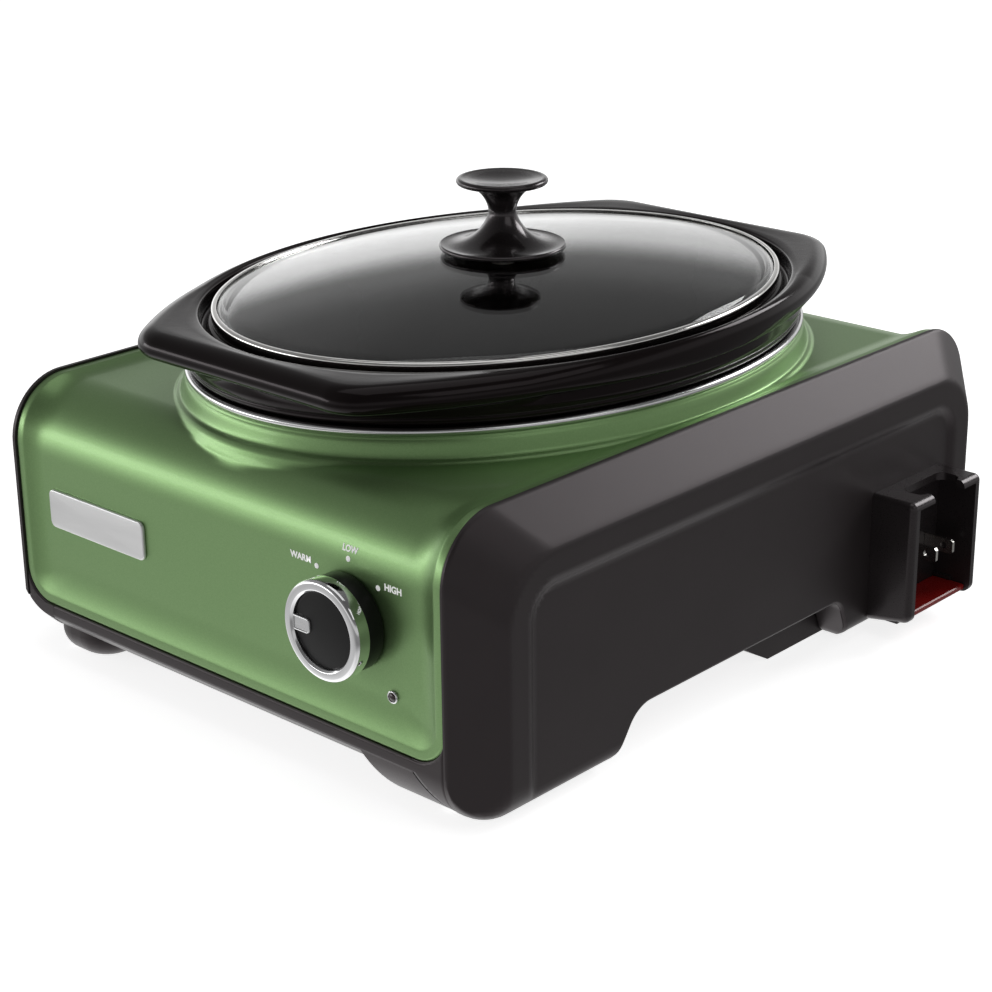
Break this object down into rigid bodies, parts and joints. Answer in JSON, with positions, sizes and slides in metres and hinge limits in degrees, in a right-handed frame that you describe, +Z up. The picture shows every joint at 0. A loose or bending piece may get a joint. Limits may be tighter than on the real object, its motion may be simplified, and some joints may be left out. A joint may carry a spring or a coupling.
{
  "type": "slow cooker",
  "caption": "Compact table-top slow cooker: green sheet-steel wrap between black end caps, lift-out oval crock, glass lid, rotary heat dial, side plug-through power.",
  "frame": {"origin": "middle of the overall footprint, on the surface the rubber feet stand on", "axes": "+X to the right end with the plug housing, +Y to the rear, +Z up; the heat dial faces -Y"},
  "size_m": [0.2882, 0.334, 0.1876],
  "materials": {
    "sage_paint": "glossy metallic sage-green enamel",
    "cap_plastic": "satin moulded brown-black plastic",
    "base_plastic": "fine-textured black plastic",
    "crock_glaze": "glossy black glaze",
    "pan_metal": "drawn aluminium with a polished rolled rim",
    "lid_glass": "clear tempered glass",
    "lid_steel": "polished stainless band",
    "knob_black": "gloss black phenolic",
    "rubber": "soft rubber",
    "chrome": "bright chrome plating",
    "satin_silver": "satin silver",
    "dial_black": "satin black plastic",
    "lamp_lens": "dark red translucent lens",
    "housing_black": "gloss black plastic",
    "blade_metal": "nickel-plated brass",
    "tab_red": "dark red plastic",
    "fastener_steel": "zinc-plated steel",
    "heater_cloth": "glass-fibre heater tape",
    "insulation": "glass-wool blanket",
    "lead_jacket": "heat-proof lead jacket",
    "switch_resin": "brown phenolic"
  },
  "bodies": {
    "body": {"wrap_shell": "sage_paint", "heating_pan": "pan_metal", "heater_band": "heater_cloth", "insulation_sleeve": "insulation", "heater_terminals": "blade_metal", "pan_bracket": "fastener_steel", "pan_bolt": "fastener_steel", "pan_nut": "fastener_steel", "thermal_fuse": "satin_silver", "fuse_clip": "fastener_steel", "right_end_cap": "cap_plastic", "left_end_cap": "cap_plastic", "base_pan": "base_plastic", "rubber_feet": "rubber", "base_screws": "fastener_steel", "rotary_switch": "switch_resin", "switch_nut": "fastener_steel", "pilot_bezel": "chrome", "pilot_lens": "lamp_lens", "pilot_lamp": "satin_silver", "badge_plate": "satin_silver", "plug_housing": "housing_black", "plug_blades": "blade_metal", "blade_carrier": "switch_resin", "housing_screws": "fastener_steel", "outlet_block": "housing_black", "outlet_contacts": "blade_metal", "switch_leads": "lead_jacket", "return_lead": "lead_jacket", "through_leads": "lead_jacket"},
    "control_knob": {"switch_shaft": "satin_silver", "knob_skirt": "dial_black", "knob_ring": "chrome", "knob_insert": "dial_black", "knob_pointer": "satin_silver"},
    "crock": {"crock": "crock_glaze"},
    "lid": {"lid_glass": "lid_glass", "lid_rim": "lid_steel", "lid_knob": "knob_black", "lid_gasket": "rubber", "lid_washer": "fastener_steel", "lid_screw": "fastener_steel"},
    "lock_tab": {"lock_tab": "tab_red"}
  },
  "joints": [
    {"name": "heat_dial_turn", "type": "hinge", "parent": "body", "child": "control_knob", "pos_m": [0.06115, -0.1527, 0.0667], "axis": [0, 1, 0], "range_deg": [0, 135]},
    {"name": "crock_lift", "type": "slide", "parent": "body", "child": "crock", "axis": [0, 0, 1], "range_m": [0, 0.15]},
    {"name": "lid_lift", "type": "slide", "parent": "crock", "child": "lid", "axis": [0, 0, 1], "range_m": [0, 0.08]},
    {"name": "lock_tab_slide", "type": "slide", "parent": "body", "child": "lock_tab", "axis": [1, 0, 0], "range_m": [0, 0.01]}
  ]
}
